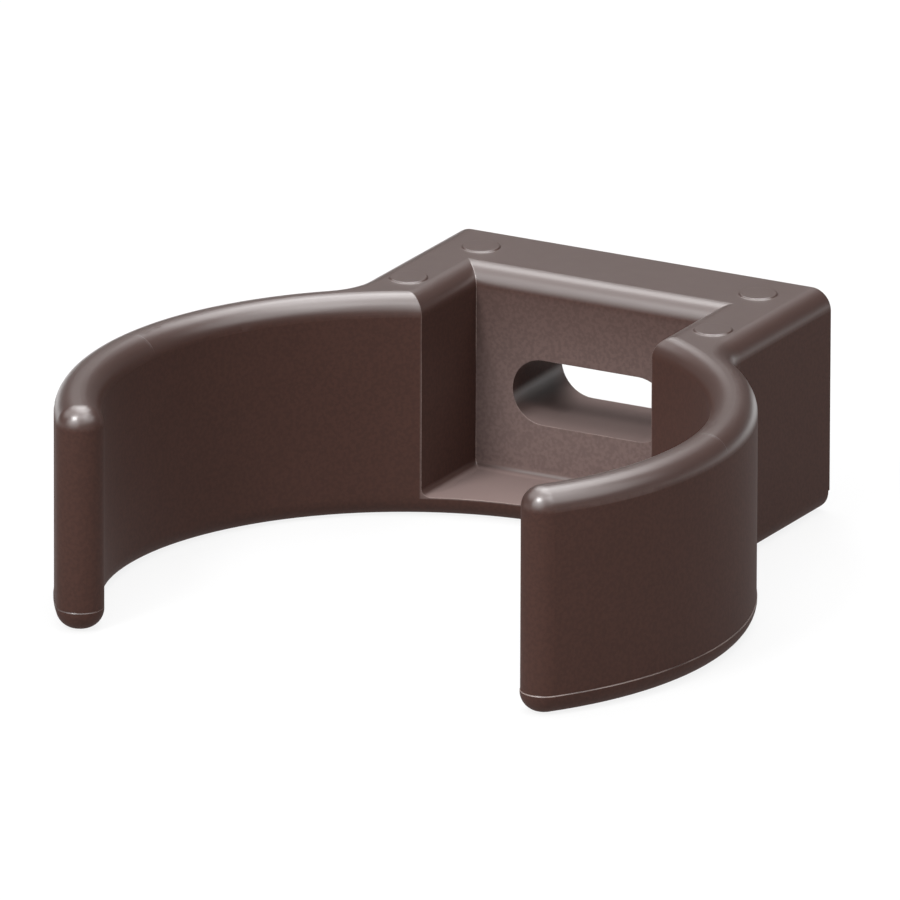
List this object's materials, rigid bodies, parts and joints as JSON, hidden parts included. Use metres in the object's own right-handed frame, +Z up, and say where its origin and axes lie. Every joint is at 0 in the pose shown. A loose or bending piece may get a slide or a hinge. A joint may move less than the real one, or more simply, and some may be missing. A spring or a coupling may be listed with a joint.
{
  "type": "downpipe clip",
  "caption": "Open ring that snaps round a round downpipe, with a stand-off block behind it and a slotted screw hole at the back of the block's pocket.",
  "frame": {"origin": "on the downpipe's axis, at half the clip's height", "axes": "+X along the wall, +Y towards the wall, +Z up along the downpipe"},
  "size_m": [0.0616, 0.0624, 0.0205],
  "materials": {
    "brown_plastic": "dark brown moulded plastic with a soft satin sheen and a fine moulded grain"
  },
  "bodies": {
    "root": {"downpipe_clip": "brown_plastic"}
  },
  "joints": []
}
